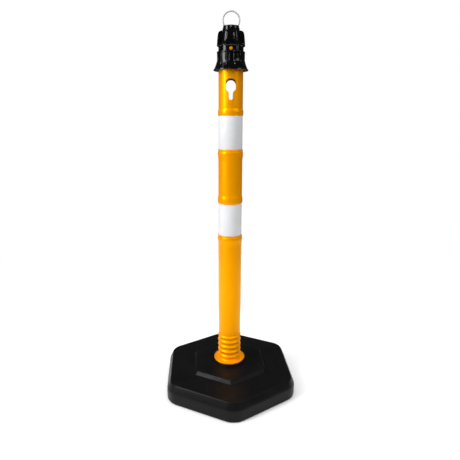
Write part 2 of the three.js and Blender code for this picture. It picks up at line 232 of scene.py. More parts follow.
def round_points(radius, centre_across, centre_up, steps=32):
    return [
        (
            centre_across + radius * math.cos(2 * math.pi * i / steps),
            centre_up + radius * math.sin(2 * math.pi * i / steps),
        )
        for i in range(steps)
    ]


def smooth_step(value):
    t = np.clip(value, 0, 1)
    return t * t * (3 - 2 * t)


def window(offset, half_width, softness):
    """1 within half_width of the middle, falling smoothly to 0 over the softness beyond it."""
    return 1 - smooth_step((np.abs(offset) - half_width) / softness)


def level_of(height, table):
    """A radius read off a table of (radius, height) points that run upwards."""
    heights = [up for _, up in table]
    radii = [radius for radius, _ in table]
    return np.interp(height, heights, radii)


# ---- Materials ---------------------------------------------------------------------------------


class Nodes:
    """A material's node tree around one Principled shader, in the piece's own coordinates."""

    def __init__(self, name, **constants):
        self.material = bpy.data.materials.new(name)
        self.material.use_nodes = True
        self.tree = self.material.node_tree
        self.shader = self.tree.nodes["Principled BSDF"]
        for socket, value in constants.items():
            self.shader.inputs[socket.replace("_", " ")].default_value = value
        self.place = self.tree.nodes.new("ShaderNodeTexCoord").outputs["Object"]

    def link(self, output, target):
        self.tree.links.new(output, target)

    def noise(self, scale, detail=3.0, roughness=0.5, stretch=(1, 1, 1)):
        mapping = self.tree.nodes.new("ShaderNodeMapping")
        mapping.inputs["Scale"].default_value = stretch
        self.link(self.place, mapping.inputs["Vector"])
        texture = self.tree.nodes.new("ShaderNodeTexNoise")
        texture.inputs["Scale"].default_value = scale
        texture.inputs["Detail"].default_value = detail
        texture.inputs["Roughness"].default_value = roughness
        self.link(mapping.outputs["Vector"], texture.inputs["Vector"])
        return texture.outputs["Fac"]

    def cells(self, scale):
        texture = self.tree.nodes.new("ShaderNodeTexVoronoi")
        texture.inputs["Scale"].default_value = scale
        self.link(self.place, texture.inputs["Vector"])
        return texture.outputs["Distance"]

    def spread(self, value, low, high, to_low=0.0, to_high=1.0):
        node = self.tree.nodes.new("ShaderNodeMapRange")
        node.inputs["From Min"].default_value = low
        node.inputs["From Max"].default_value = high
        node.inputs["To Min"].default_value = to_low
        node.inputs["To Max"].default_value = to_high
        self.link(value, node.inputs["Value"])
        return node.outputs["Result"]

    def colours(self, share, first, second):
        node = self.tree.nodes.new("ShaderNodeMix")
        node.data_type = "RGBA"
        self.link(share, node.inputs["Factor"])
        node.inputs["A"].default_value = (*first, 1)
        node.inputs["B"].default_value = (*second, 1)
        return node.outputs["Result"]

    def colour(self, output):
        self.link(output, self.shader.inputs["Base Color"])

    def roughness(self, output):
        self.link(output, self.shader.inputs["Roughness"])

    def bump(self, *layers):
        """Each layer is (height output, depth in metres, strength)."""
        normal = None
        for height, depth, strength in layers:
            node = self.tree.nodes.new("ShaderNodeBump")
            node.inputs["Distance"].default_value = depth
            node.inputs["Strength"].default_value = strength
            self.link(height, node.inputs["Height"])
            if normal is not None:
                self.link(normal, node.inputs["Normal"])
            normal = node.outputs["Normal"]
        self.link(normal, self.shader.inputs["Normal"])


def yellow_plastic():
    """Blow-moulded plastic: a satin skin with slight waves, fine grain and uneven pigment."""
    nodes = Nodes(
        "yellow_plastic",
        Metallic=0.3,
        Specular_IOR_Level=1.0,
        Specular_Tint=(1.0, 1.0, 0.0, 1.0),
    )
    pigment = nodes.spread(nodes.noise(14, 4, 0.55, (1, 1, 0.4)), 0.3, 0.7)
    nodes.colour(nodes.colours(pigment, (0.93, 0.318, 0.0), (0.97, 0.348, 0.0)))
    nodes.roughness(nodes.spread(nodes.noise(90, 5), 0.3, 0.7, 0.36, 0.45))
    waves = nodes.noise(24, 2, 0.4, (1, 1, 0.35))
    nodes.bump((waves, 0.0012, 0.25), (nodes.noise(1400, 3), 0.00006, 0.35))
    return nodes.material


def base_rubber():
    """Moulded black rubber: satin, finely grained, with a faint dusty mottle."""
    nodes = Nodes("base_rubber", Specular_IOR_Level=0.14)
    mottle = nodes.spread(nodes.noise(18, 6, 0.6), 0.35, 0.75)
    nodes.colour(nodes.colours(mottle, (0.0024, 0.0024, 0.0028), (0.0045, 0.0045, 0.005)))
    nodes.roughness(nodes.spread(nodes.noise(60, 5), 0.3, 0.7, 0.32, 0.44))
    nodes.bump((nodes.noise(16, 2), 0.0016, 0.15), (nodes.noise(900, 4, 0.6), 0.00012, 0.4))
    return nodes.material


def cap_plastic():
    """Glossy black injection-moulded plastic, with slight sink marks and handling scuffs."""
    nodes = Nodes("cap_plastic", Specular_IOR_Level=0.3)
    mottle = nodes.spread(nodes.noise(40, 4), 0.35, 0.7)
    nodes.colour(nodes.colours(mottle, (0.0008, 0.0008, 0.001), (0.0022, 0.0022, 0.0026)))
    nodes.roughness(nodes.spread(nodes.noise(120, 6, 0.65), 0.35, 0.75, 0.08, 0.17))
    nodes.bump((nodes.noise(45, 2), 0.0004, 0.06), (nodes.noise(1600, 3), 0.00001, 0.15))
    return nodes.material


def reflective_film():
    """White film over tiny glass beads: a soft sheen with a bead grain under a clear face."""
    nodes = Nodes(
        "reflective_film", Specular_IOR_Level=0.3, Coat_Weight=0.35, Coat_Roughness=0.12
    )
    shade = nodes.spread(nodes.noise(30, 4), 0.35, 0.7)
    nodes.colour(nodes.colours(shade, (0.675, 0.677, 0.70), (0.71, 0.712, 0.735)))
    nodes.roughness(nodes.spread(nodes.noise(200, 4), 0.3, 0.7, 0.42, 0.55))
    nodes.bump((nodes.noise(35, 2), 0.0004, 0.2), (nodes.cells(2600), 0.00004, 0.35))
    return nodes.material


def liner_plastic():
    """Dull grey-black plastic of the socket liner, scored up and down by the spigot."""
    nodes = Nodes("liner_plastic", Specular_IOR_Level=0.4)
    scores = nodes.noise(90, 4, 0.6, (1, 1, 0.06))
    nodes.colour(nodes.colours(scores, (0.022, 0.023, 0.026), (0.045, 0.047, 0.05)))
    nodes.roughness(nodes.spread(scores, 0.3, 0.7, 0.4, 0.6))
    nodes.bump((scores, 0.0002, 0.3))
    return nodes.material


def bright_steel():
    """Zinc-plated steel with a fine drawn grain and slightly cloudy patches."""
    nodes = Nodes("bright_steel", Metallic=0.2)
    cloud = nodes.spread(nodes.noise(160, 5), 0.3, 0.7)
    nodes.colour(nodes.colours(cloud, (0.5, 0.51, 0.53), (0.62, 0.63, 0.64)))
    nodes.roughness(nodes.spread(nodes.noise(420, 5), 0.3, 0.7, 0.25, 0.4))
    nodes.bump((nodes.noise(1800, 3), 0.00003, 0.4))
    return nodes.material


def pale_floor():
    nodes = Nodes("pale_floor", Roughness=1.0, Specular_IOR_Level=0.0)
    nodes.colour(nodes.colours(nodes.noise(3, 3), (0.72, 0.72, 0.72), (0.74, 0.74, 0.74)))
    return nodes.material


YELLOW = yellow_plastic()
RUBBER = base_rubber()
BLACK = cap_plastic()
FILM = reflective_film()
LINER = liner_plastic()
STEEL = bright_steel()


def settle(piece, body, material, slot, *replaced):
    """Gives a piece its material and its body, and hides the CAD nodes that it stands for. The slot
    is not used.
    """
    piece.data.materials.clear()
    piece.data.materials.append(material)
    if body is not None:
        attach(piece, body)
    if replaced:
        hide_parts(*replaced)
    return piece


# ---- Camera ------------------------------------------------------------------------------------

CAMERA_AWAY = 1.2096
CAMERA_HEIGHT = 0.7958
CAMERA_DOWN = 14.17
CAMERA_ROLL = 0.32
CAMERA_LENS = 33.39
CAMERA_SENSOR = 36.0


def add_camera():
    data = bpy.data.cameras.new("camera")
    data.lens = CAMERA_LENS
    data.sensor_width = CAMERA_SENSOR
    camera = bpy.data.objects.new("camera", data)
    camera.location = (0, -CAMERA_AWAY, CAMERA_HEIGHT)
    tilt = Euler((math.radians(90 - CAMERA_DOWN), 0, 0)).to_matrix()
    roll = Matrix.Rotation(math.radians(CAMERA_ROLL), 3, "Z")
    camera.rotation_euler = (tilt @ roll).to_euler()
    bpy.context.scene.collection.objects.link(camera)
    bpy.context.scene.camera = camera


add_camera()

# ---- Base --------------------------------------------------------------------------------------

BASE_SIZE = 220  # from the centre to the unrounded corner
BASE_TURN = math.radians(4.4)  # how far the base stands turned from the post's front
BASE_CORNERS = ([0, 46, 119, 128, 208, BASE_SIZE], [0, 20, 13, 14, 42, 54])  # radii by size
WALL_TOP = 36
SHOULDER_SIZE = 208
SHOULDER = 58
PLATEAU_FOOT = 128
PLATEAU_SIZE = 119
PLATEAU = 70
BOSS_RADIUS = 46
BOSS = base_high.z
SOCKET_RADIUS = 34.3
SOCKET_FLOOR = 11.7
DRAIN_RADIUS = 22
POCKET_DEPTH = 44
POCKET_RINGS = ((6, 54, 98), (12, 112, 176))  # how many, from radius, to radius
POCKET_RIB = 12
POCKET_FILLET = 5
ALL_ROUND = BOSS_RADIUS + 20  # rows of the base's surface inside this radius are circles


def hexagon_ring(size, height, arc_steps=12, side_steps=8):
    """Points round a hexagon with rounded corners, one corner near -Y."""
    corner = float(np.interp(size, *BASE_CORNERS))
    middle = size - corner / math.cos(math.pi / 6)
    bends = []
    for side in range(6):
        towards = BASE_TURN - math.pi / 2 + side * math.pi / 3
        for step in range(arc_steps + 1):
            angle = towards + (step / arc_steps - 0.5) * math.pi / 3
            bends.append(
                (
                    middle * math.cos(towards) + corner * math.cos(angle),
                    middle * math.sin(towards) + corner * math.sin(angle),
                )
            )
    ring = []
    for i, (x, y) in enumerate(bends):
        ring.append((x, y, height))
        if i % (arc_steps + 1) == arc_steps:
            next_x, next_y = bends[(i + 1) % len(bends)]
            for step in range(1, side_steps):
                share = step / side_steps
                ring.append((x + (next_x - x) * share, y + (next_y - y) * share, height))
    return ring


def base_ring(size, height):
    """A hexagon outside the boss and a circle from the boss inwards, with matching columns."""
    if size > ALL_ROUND:
        return hexagon_ring(size, height)
    guide = hexagon_ring(BASE_SIZE, height)
    return [
        (size * math.cos(math.atan2(y, x)), size * math.sin(math.atan2(y, x)), height)
        for x, y, _ in guide
    ]


def pocket_points(count, inner, outer):
    """The outline of one of a ring of hollows under the base, between two radial ribs."""
    steps = 10
    half = math.pi / count
    points = []
    for radius, direction in ((outer, 1), (inner, -1)):
        reach = half - POCKET_RIB / 2 / radius
        for step in range(steps + 1):
            angle = direction * (2 * step / steps - 1) * reach
            points.append((radius * math.cos(angle), radius * math.sin(angle)))
    corners = (0, steps, steps + 1, 2 * steps + 1)
    return outline(
        [(x, y, POCKET_FILLET if i in corners else 0) for i, (x, y) in enumerate(points)]
    )


def turned_points(points, angle):
    """Points turned about the origin."""
    c, s = math.cos(angle), math.sin(angle)
    return [(x * c - y * s, x * s + y * c) for x, y in points]


def make_base():
    corners = [
        (DRAIN_RADIUS, 0, 0.5),
        (BASE_SIZE - 3, 0, 1.5),
        (BASE_SIZE, 4, 4),
        (BASE_SIZE, WALL_TOP, 4),
        (SHOULDER_SIZE, SHOULDER, 4),
        (PLATEAU_FOOT, SHOULDER + 0.8, 4),
        (PLATEAU_SIZE, PLATEAU, 2.5),
        (BOSS_RADIUS + 4, PLATEAU, 2.5),
        (BOSS_RADIUS, PLATEAU + 2, 1.5),
        (BOSS_RADIUS, BOSS, 1.5),
        (SOCKET_RADIUS, BOSS, 0.6),
        (SOCKET_RADIUS, SOCKET_FLOOR, 0),
        (DRAIN_RADIUS, SOCKET_FLOOR, 0),
    ]
    rows = [base_ring(size, height) for size, height in outline(corners, 5)]
    base = skinned("base_block", rows, 50)
    cutters = []
    for count, inner, outer in POCKET_RINGS:
        points = pocket_points(count, inner, outer)
        for i in range(count):
            turned_outline = turned_points(points, BASE_TURN + 2 * math.pi * i / count)
            cutters.append(pushed(f"pocket_{count}_{i}", turned_outline, -2, POCKET_DEPTH))
    return cut(base, [joined("pockets", cutters)], 50)


settle(make_base(), "base", RUBBER, "base_rubber", "rubber_base")
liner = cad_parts["base_socket"]
liner.data.materials.clear()
liner.data.materials.append(LINER)

# ---- Foot and bellows --------------------------------------------------------------------------

FLANGE_UNDERSIDE = BOSS + GAP
FLANGE_RADIUS = foot_high.x
FLANGE_TOP = FLANGE_UNDERSIDE + 6.5
SPIGOT_TIP = 27.5
SPIGOT_TOP = 30
SPIGOT_BORE = 24.5
COLLAR_RADIUS = 32
NECK_BORE = 27.5
NECK_WALL = 2.6
RIDGE_COUNT = 5
RIDGE_PITCH = 16
FIRST_RIDGE = neck_low.z + 8
TOP_RIDGE = FIRST_RIDGE + (RIDGE_COUNT - 1) * RIDGE_PITCH
RIDGE_RADIUS = neck_high.x
RIDGE_SHARPNESS = 1.1
VALLEY_RADIUS = 31.1
TUBE_FOOT_RADIUS = 32.6


def make_foot():
    return turned(
        "foot_moulding",
        [
            (SPIGOT_BORE, foot_low.z, 0.8),
            (SPIGOT_TIP, foot_low.z, 1.2),
            (SPIGOT_TOP, FLANGE_UNDERSIDE, 0.5),
            (FLANGE_RADIUS - 1.6, FLANGE_UNDERSIDE, 1),
            (FLANGE_RADIUS, FLANGE_UNDERSIDE + 3, 2.5),
            (FLANGE_RADIUS - 0.9, FLANGE_TOP, 1.6),
            (FLANGE_RADIUS - 4.4, FLANGE_TOP - 2.4, 1.8),
            (COLLAR_RADIUS + 3, FLANGE_TOP - 2.8, 3),
            (COLLAR_RADIUS, FLANGE_TOP + 1, 1),
            (COLLAR_RADIUS - 0.6, foot_high.z, 0.4),
            (NECK_BORE, foot_high.z, 0),
        ],
        columns=128,
        steps=6,
    )


def neck_radius(height):
    """Rounded ridges with narrower valleys between them, running out into the tube above."""
    wave = 0.5 + 0.5 * math.cos((height - FIRST_RIDGE) / RIDGE_PITCH * 2 * math.pi)
    radius = VALLEY_RADIUS + (RIDGE_RADIUS - VALLEY_RADIUS) * wave**RIDGE_SHARPNESS
    if height > TOP_RIDGE:
        run_out = float(smooth_step((height - TOP_RIDGE) / (neck_high.z - TOP_RIDGE)))
        radius = max(radius, TUBE_FOOT_RADIUS - 1 + 0.95 * run_out)
    return radius


def make_neck():
    levels = np.linspace(neck_low.z, neck_high.z, 97)
    outside = [(neck_radius(level), level) for level in levels]
    inside = [
        (min(neck_radius(level) - NECK_WALL, NECK_BORE + 2), level) for level in levels[::-1]
    ]
    rows = turned_rows(outside + inside, circle_angles(128))
    return skinned("neck_moulding", rows, 60)


settle(make_foot(), "foot", YELLOW, "yellow_plastic", "foot_flange")
neck = settle(make_neck(), None, YELLOW, "yellow_plastic", "neck_bellows")
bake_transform(neck)

# ---- Tube --------------------------------------------------------------------------------------

BEAD_RISE = 1.9
BEADS_UNDER_BANDS = (29, 31)  # how far down the lower and the upper band's bead reaches
BEADS_OVER_BANDS = (27, 22)  # how far up the lower and the upper band's bead reaches
TUBE_STEP = (228, 250)  # where the tube widens just above the bellows
TUBE_LOW_RADIUS = tube_high.x - BEAD_RISE
TUBE_MIDDLE_RADIUS = TUBE_LOW_RADIUS - 0.2
TUBE_TOP_RADIUS = TUBE_LOW_RADIUS - 0.7
TUBE_BORE = 29.6
TUBE_LID = 3
SEAT_RADIUS = lower_band_high.x - 1.1
TOP_NECK_RADIUS = 28.8
TOP_NECK_BORE = 25.8
SHOULDER_START = 944
TOP_NECK_START = 954
KEYHOLE_TOP = 908
KEYHOLE_HALF = 13.9
KEYHOLE_WIDE_BOTTOM = 880
KEYHOLE_SLOT_TOP = 872
KEYHOLE_SLOT_HALF = 5.4
KEYHOLE_BOTTOM = 853
MARK_DEPTH = 0.9
MARK_EDGES = ((7, 12.4, 3), (6, 10.8, 2.2))  # half-width, middle's drop under the keyhole, bow
SEAM_HEIGHT = 0.22
SEAM_HALF_ANGLE = math.radians(0.9)
SEAM_FOOT = 1.6  # the seam's half-width at its foot, in half angles


def upper_bead(low, high, radius):
    """The bead over a band: a round swell that ends in a crease above and at the band below."""
    peak = radius + BEAD_RISE
    return [
        (SEAT_RADIUS, low, 0),
        (radius, low, 0.3),
        (peak - 0.5, low + 1.6, 1.4),
        (peak, low + (high - low) * 0.4, 5),
        (peak - 0.7, low + (high - low) * 0.66, 4),
        (radius - 0.25, high - 3, 2.5),
        (radius, high, 3),
    ]


def lower_bead(low, high, radius):
    """The bead under a band: a thin lip, a fine groove, then a swell that tapers downwards."""
    peak = radius + BEAD_RISE
    return [
        (radius, low, 3),
        (radius + 0.1, low + 2, 3),
        (peak - 0.6, low + (high - low) * 0.42, 4),
        (peak, low + (high - low) * 0.62, 4),
        (peak - 0.8, high - 5.6, 1.6),
        (radius - 0.4, high - 4.2, 0.7),
        (radius + 1.1, high - 2.2, 0.9),
        (radius + 0.3, high, 0.4),
        (SEAT_RADIUS, high, 0),
    ]


def seam_angles(columns):
    """Evenly spaced angles, with extra ones at the two mould seams on the left and right."""
    angles = list(circle_angles(columns))
    for seam in (0, math.pi):
        for offset in (-2, -1, 1, 2):
            angles.append((seam + offset * SEAM_HALF_ANGLE) % (2 * math.pi))
    return sorted(angles)


def seam_rise(angle):
    """How far a mould seam stands proud of the skin at an angle."""
    offset = abs(math.remainder(angle, math.pi))
    return SEAM_HEIGHT * max(0.0, 1 - offset / (SEAM_FOOT * SEAM_HALF_ANGLE))


def keyhole_points():
    top = KEYHOLE_TOP - KEYHOLE_HALF
    bottom = KEYHOLE_BOTTOM + KEYHOLE_SLOT_HALF
    points = []
    for step in range(21):
        angle = math.pi * step / 20
        points.append((KEYHOLE_HALF * math.cos(angle), top + KEYHOLE_HALF * math.sin(angle)))
    points.append((-KEYHOLE_HALF, KEYHOLE_WIDE_BOTTOM + 1.5))
    points.append((-KEYHOLE_HALF + 1, KEYHOLE_WIDE_BOTTOM))
    points.append((-KEYHOLE_SLOT_HALF - 0.8, KEYHOLE_SLOT_TOP + 0.8))
    points.append((-KEYHOLE_SLOT_HALF, KEYHOLE_SLOT_TOP - 1))
    for step in range(13):
        angle = math.pi + math.pi * step / 12
        points.append(
            (KEYHOLE_SLOT_HALF * math.cos(angle), bottom + KEYHOLE_SLOT_HALF * math.sin(angle))
        )
    points.append((KEYHOLE_SLOT_HALF, KEYHOLE_SLOT_TOP - 1))
    points.append((KEYHOLE_SLOT_HALF + 0.8, KEYHOLE_SLOT_TOP + 0.8))
    points.append((KEYHOLE_HALF - 1, KEYHOLE_WIDE_BOTTOM))
    points.append((KEYHOLE_HALF, KEYHOLE_WIDE_BOTTOM + 1.5))
    return points


def mould_mark_points():
    """The small crescent-shaped dent under the keyhole."""
    points = []
    for (half, drop, bow), direction in zip(MARK_EDGES, (1, -1)):
        for t in np.linspace(-direction, direction, 13):
            points.append((half * t, KEYHOLE_BOTTOM - drop + bow * t * t))
    return points


def make_tube():
    corners = [
        (TUBE_BORE, tube_low.z, 0),
        (TUBE_FOOT_RADIUS, tube_low.z, 0.3),
        (TUBE_FOOT_RADIUS, TUBE_STEP[0], 8),
        (TUBE_LOW_RADIUS, TUBE_STEP[1], 8),
    ]
    bands = (
        (lower_band_low.z, lower_band_high.z, TUBE_LOW_RADIUS, TUBE_MIDDLE_RADIUS),
        (upper_band_low.z, upper_band_high.z, TUBE_MIDDLE_RADIUS, TUBE_TOP_RADIUS),
    )
    for band, under, over in zip(bands, BEADS_UNDER_BANDS, BEADS_OVER_BANDS):
        low, high, radius_under, radius_over = band
        corners += lower_bead(low - under, low - GAP, radius_under)
        corners += upper_bead(high + GAP, high + over, radius_over)
    corners += [
        (TUBE_TOP_RADIUS, SHOULDER_START, 3),
        (TOP_NECK_RADIUS, TOP_NECK_START, 3),
        (TOP_NECK_RADIUS, tube_high.z, 1.5),
        (0, tube_high.z, 0),
        (0, tube_high.z - TUBE_LID, 0),
        (TOP_NECK_BORE, tube_high.z - TUBE_LID, 0),
        (TOP_NECK_BORE, TOP_NECK_START - 1, 0),
        (TUBE_BORE, SHOULDER_START - 2, 0),
    ]
    angles = seam_angles(128)
    rows = []
    for radius, height in outline(corners, 5):
        on_skin = radius > SEAT_RADIUS + 0.2
        rise = [seam_rise(a) if on_skin else 0 for a in angles]
        rows.append(
            [
                ((radius + up) * math.cos(a), (radius + up) * math.sin(a), height)
                for a, up in zip(angles, rise)
            ]
        )
    tube = skinned("tube_moulding", rows, 40)
    button_hole = round_points(BUTTON_HOLE, 0, button_height)
    cutters = [
        pushed("keyhole_cutter", keyhole_points(), -BEYOND_TUBE, BEYOND_TUBE, "y"),
        pushed("button_cutter", button_hole, -BEYOND_NECK, BEYOND_NECK, "y"),
        pushed("mark_cutter", mould_mark_points(), -BEYOND_TUBE, MARK_DEPTH - TUBE_TOP_RADIUS, "y"),
    ]
    return cut(tube, cutters)


settle(make_tube(), "tube", YELLOW, "yellow_plastic", "post_tube")


# ---- Reflective film ---------------------------------------------------------------------------

FILM_SPACE = 0.8  # room that the frame gives the film and its lap
FILM_LAP_RISE = 0.28
LAP_START = math.radians(78)
LAP_END = math.radians(97)
LAP_EDGE = 0.004  # radians over which the lap's edges rise


def make_band(name, low, high):
    """A film sleeve whose ends lap over each other at the back."""
    inner = high.x - FILM_SPACE
    outer = high.x - 0.3
    lap_angles = [LAP_START - LAP_EDGE, LAP_START, LAP_END, LAP_END + LAP_EDGE]
    angles = sorted([*circle_angles(120), *lap_angles])
    rows = []
    corners = [
        (inner, low.z, 0),
        (outer, low.z, 0.25),
        (outer, high.z, 0.25),
        (inner, high.z, 0),
    ]
    for radius, height in outline(corners, 2):
        ring = []
        for a in angles:
            lapped = LAP_START <= a <= LAP_END and radius > inner + 0.2
            size = radius + (FILM_LAP_RISE if lapped else 0)
            ring.append((size * math.cos(a), size * math.sin(a), height))
        rows.append(ring)
    return skinned(name, rows, 30)


for side, low, high in (
    ("lower", lower_band_low, lower_band_high),
    ("upper", upper_band_low, upper_band_high),
):
    film = make_band(f"film_band_{side}", low, high)
    settle(film, "tube", FILM, "reflective_film", f"reflective_band_{side}")

# ---- Cap sleeve --------------------------------------------------------------------------------

SLEEVE_BORE = 34.8
SLEEVE_MOUTH = 33.6
RIM = sleeve_high.x
RIB_COUNT = 12
RIB_HALF = 1.8
RIB_FLANK = 0.8
RIB_START = 10  # above the sleeve's bottom
RIB_RISE = (0.525, 0.945)  # how far a rib stands out at the sleeve's bottom and at its top
RIB_MIDDLE_RADIUS = 38  # at which widths across a rib are measured


def sleeve_table():
    low, high = sleeve_low.z, sleeve_high.z
    return [
        (RIM - 0.6, low),
        (RIM, low + 0.6),
        (RIM, low + 2.4),
        (RIM - 0.7, low + 3),
        (RIM - 2.3, low + 4),
        (43.2, low + 7),
        (41.2, low + 12),
        (39, low + 17.5),
        (37.5, low + 22),
        (36.9, low + 26),
        (36.9, high - 5),
        (37.4, high - 3.6),
        (37.4, high - 1.2),
        (36.6, high),
    ]


def sleeve_radius(angle, height):
    """The sleeve's outside, with ribs that fade in above the skirt and end below the top."""
    low, high = sleeve_low.z, sleeve_high.z
    sector = 2 * math.pi / RIB_COUNT
    across = math.remainder(angle - sector / 2, sector) * RIB_MIDDLE_RADIUS
    start = smooth_step((height - low - RIB_START) / 8)
    end = smooth_step((high - 1.5 - height) / 1.5)
    rise = np.interp(height, (low, high), RIB_RISE)
    rib = window(across, RIB_HALF, RIB_FLANK) * start * end * rise
    return float(level_of(height, sleeve_table()) + rib)


def make_sleeve():
    low, high = sleeve_low.z, sleeve_high.z
    levels = [low, low + 0.3, low + 0.6, low + 2.6, low + 2.9, low + 3.2, low + 3.7, low + 4.2]
    levels += list(np.linspace(low + 5, high - 4, 30))
    levels += [high - 3, high - 2, high - 1.5, high - 1.2, high - 0.6, high - 0.2, high]
    angles = circle_angles(360)
    rows = [
        [(sleeve_radius(a, z) * math.cos(a), sleeve_radius(a, z) * math.sin(a), z) for a in angles]
        for z in levels
    ]
    inside = [
        (SLEEVE_MOUTH + 0.4, high),
        (SLEEVE_MOUTH, high - 0.4),
        (SLEEVE_MOUTH, high - 3),
        (SLEEVE_BORE, high - 4),
        (SLEEVE_BORE, low + 0.4),
        (SLEEVE_BORE + 0.4, low),
    ]
    rows += turned_rows(inside, angles)
    return skinned("cap_skirt", rows, 38)


settle(make_sleeve(), "cap", BLACK, "cap_plastic", "cap_sleeve")

# ---- Cap head ----------------------------------------------------------------------------------

WAIST_RADIUS = 33.4
WAIST_BOTTOM = 976.3
SNAP_GROOVE = 971.6  # where the swell that snaps into the sleeve ends
LIP = 989.5
HEAD_BORE = 29.6
HEAD_CEILING = 993.5
COLLAR = SLEEVE_MOUTH - 0.3
CUP_RADIUS = 19
CUP_FLOOR = 1026
CUP_SLOT_HALF = 8.5
CUP_SLOT_FLOOR = 1033
LUG_HALF = 14.6
LUG_ARCH = 9  # how far a panel's lower edge rises over the button
FIN_HALF = 13.2
PANEL_FLANK = 1.4
GROOVES = (-5.5, 0, 5.5)  # up the side blocks, from their middle
GROOVE_DEPTH = 0.9
PANEL_RADIUS = 35  # at which widths across the panels are measured
KEYWAY_REACH = 32.5
PIN_HOLE = 1.8

COLLAR_TOP = [
    (22.2, LIP + 38.2),
    (22.5, LIP + 40),
    (22.6, LIP + 47),
    (22.4, head_high.z - 0.8),
    (21.8, head_high.z),
]
CORE = [
    (WAIST_RADIUS, WAIST_BOTTOM),
    (WAIST_RADIUS, LIP - 1.6),
    (35.2, LIP - 0.2),
    (35.2, LIP + 1),
    (32.8, LIP + 5),
    (30, LIP + 10),
    (27.6, LIP + 20),
    (26, LIP + 30),
    (25, LIP + 35),
    *COLLAR_TOP,
]
LUG = [
    (WAIST_RADIUS, WAIST_BOTTOM),
    (WAIST_RADIUS, LIP - 1),
    (36.6, LIP),
    (36.8, LIP + 1.2),
    (34.4, LIP + 7),
    (31.8, LIP + 13),
    (29.4, LIP + 22),
    (27.2, LIP + 31),
    (25.8, LIP + 34.5),
    (24, LIP + 36.4),
    *COLLAR_TOP,
]
FIN = [
    (WAIST_RADIUS, WAIST_BOTTOM),
    (WAIST_RADIUS, LIP - 0.4),
    (36.8, LIP + 0.2),
    (37.4, LIP + 1.5),
    (36.6, LIP + 14),
    (35.3, LIP + 26),
    (34.2, LIP + 32),
    (32.6, LIP + 35.2),
    (29.5, LIP + 36.8),
    (23, LIP + 37.6),
    *COLLAR_TOP,
]


def head_radius(angle, height, above_edge):
    """The head's radius. above_edge is how far up a panel's lower edge lies below the point."""
    core = level_of(height, CORE)
    across = PANEL_RADIUS * math.cos(angle)
    deep = PANEL_RADIUS * math.sin(angle)
    lug = window(across, LUG_HALF, PANEL_FLANK) * smooth_step(1.2 + above_edge)
    fin = window(deep, FIN_HALF, PANEL_FLANK)
    grooves = sum(window(deep - middle, 0.7, 0.8) for middle in GROOVES)
    grooves *= fin * smooth_step((height - LIP - 2) / 3) * smooth_step((LIP + 33 - height) / 4)
    radius = core + max(0, lug * (level_of(height, LUG) - core))
    radius += max(0, fin * (level_of(height, FIN) - core))
    return float(radius - GROOVE_DEPTH * grooves)


def lip_arch(angle, height):
    """How far the rows near a panel's lower edge bend up into the arch over the button."""
    across = PANEL_RADIUS * math.cos(angle)
    arch = LUG_ARCH * max(0.0, 1 - (across / LUG_HALF) ** 2)
    return arch * float(smooth_step((height - LIP + 9) / 8) * smooth_step((LIP + 22 - height) / 22))


def make_head():
    levels = [WAIST_BOTTOM, 976.6, 978, *np.arange(LIP - 10.5, LIP - 1.7, 0.6)]
    levels += list(np.arange(LIP - 1.6, LIP + 2, 0.2))
    levels += list(np.linspace(LIP + 2.5, LIP + 38, 34))
    levels += [LIP + 38.6, LIP + 39, LIP + 41, LIP + 44, head_high.z - 1.5, head_high.z - 1]
    levels += [head_high.z - 0.6, head_high.z - 0.3, head_high.z]
    angles = circle_angles(192)
    rows = []
    collar = [
        (HEAD_BORE, head_low.z),
        (COLLAR, head_low.z),
        (COLLAR + 1.1, head_low.z + 3),
        (COLLAR, SNAP_GROOVE),
        (COLLAR, WAIST_BOTTOM),
    ]
    rows += turned_rows(collar, angles)
    for z in levels:
        ring = []
        for a in angles:
            height = z + lip_arch(a, z)
            radius = head_radius(a, height, z - LIP)
            ring.append((radius * math.cos(a), radius * math.sin(a), height))
        rows.append(ring)
    inside = [
        (CUP_RADIUS + 0.4, head_high.z),
        (CUP_RADIUS, head_high.z - 0.4),
        (CUP_RADIUS, CUP_FLOOR),
        (0, CUP_FLOOR),
        (0, HEAD_CEILING),
        (HEAD_BORE, HEAD_CEILING),
    ]
    rows += turned_rows(inside, angles)
    head = skinned("cap_crown", rows, 38)
    slot = outline(
        [
            (-CUP_SLOT_HALF, CUP_SLOT_FLOOR, 2),
            (CUP_SLOT_HALF, CUP_SLOT_FLOOR, 2),
            (CUP_SLOT_HALF, head_high.z + 2, 0),
            (-CUP_SLOT_HALF, head_high.z + 2, 0),
        ]
    )
    slot_cutter = pushed("slot_cutter", slot, -BEYOND_COLLAR, BEYOND_COLLAR, "y")
    slot_cutter.data.transform(Matrix.Rotation(math.pi / 2, 4, "Z"))
    keyway = [
        (-BUTTON_HOLE, head_low.z - 1),
        (BUTTON_HOLE, head_low.z - 1),
        (BUTTON_HOLE, button_height),
        (-BUTTON_HOLE, button_height),
    ]
    button_hole = round_points(BUTTON_HOLE, 0, button_height)
    pin_hole = round_points(PIN_HOLE, 0, pin_height, 20)
    cutters = [
        slot_cutter,
        pushed("keyway_cutter", keyway, -KEYWAY_REACH, KEYWAY_REACH, "y"),
        pushed("button_cutter", button_hole, -BEYOND_HEAD, BEYOND_HEAD, "y"),
        pushed("pin_cutter", pin_hole, -BEYOND_COLLAR, BEYOND_COLLAR, "y"),
    ]
    return cut(head, cutters, 38)


settle(make_head(), "cap", BLACK, "cap_plastic", "cap_head")

# ---- Buttons, pin and ring ---------------------------------------------------------------------


BUTTON_RADIUS = 5.3
BUTTON_FLANGE_RADIUS = 6.6
BUTTON_FLANGE = 1.6
RING_INSET = 0.25  # the wire is this much thinner than the frame's ring, to leave room for the weld
WELD_RISE = 0.22
WELD_HALF_WIDTH = 1.1
WELD_TURN = 0.5  # radians round from the right-hand side


